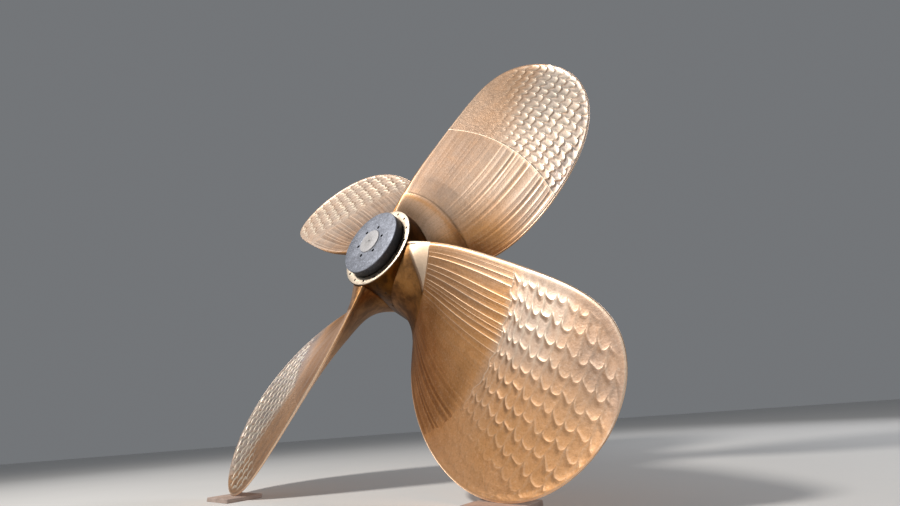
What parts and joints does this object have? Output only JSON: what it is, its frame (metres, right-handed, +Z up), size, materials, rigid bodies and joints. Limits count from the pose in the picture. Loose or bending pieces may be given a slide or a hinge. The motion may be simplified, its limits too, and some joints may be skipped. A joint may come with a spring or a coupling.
{
  "type": "ship propeller",
  "caption": "Large right-handed fixed-pitch bronze ship propeller, cast in one piece, with shaft end and nut, standing on two blade tips in seat plates.",
  "frame": {"origin": "on the underside of the left seat plate, under the blade tip that stands in it", "axes": "+Z up from the ground, +X along the ground toward the other seat plate's side, -Y the way the nut end of the shaft points, which rises 16.5 degrees from level"},
  "size_m": [5.6698, 2.1736, 5.4772],
  "materials": {
    "cast_bronze": "ground nickel-aluminium bronze with grinding marks",
    "dark_steel": "turned, dulled blue-grey",
    "bright_steel": "turned, dull",
    "plug_metal": "dark, dirty",
    "plate_steel": "weathered, dusty"
  },
  "bodies": {
    "root": {"propeller_casting": "cast_bronze", "propeller_nut": "dark_steel", "shaft_end": "bright_steel", "hub_plug_1": "plug_metal", "hub_plug_2": "plug_metal", "seat_plate_left": "plate_steel", "seat_plate_right": "plate_steel"}
  },
  "joints": []
}
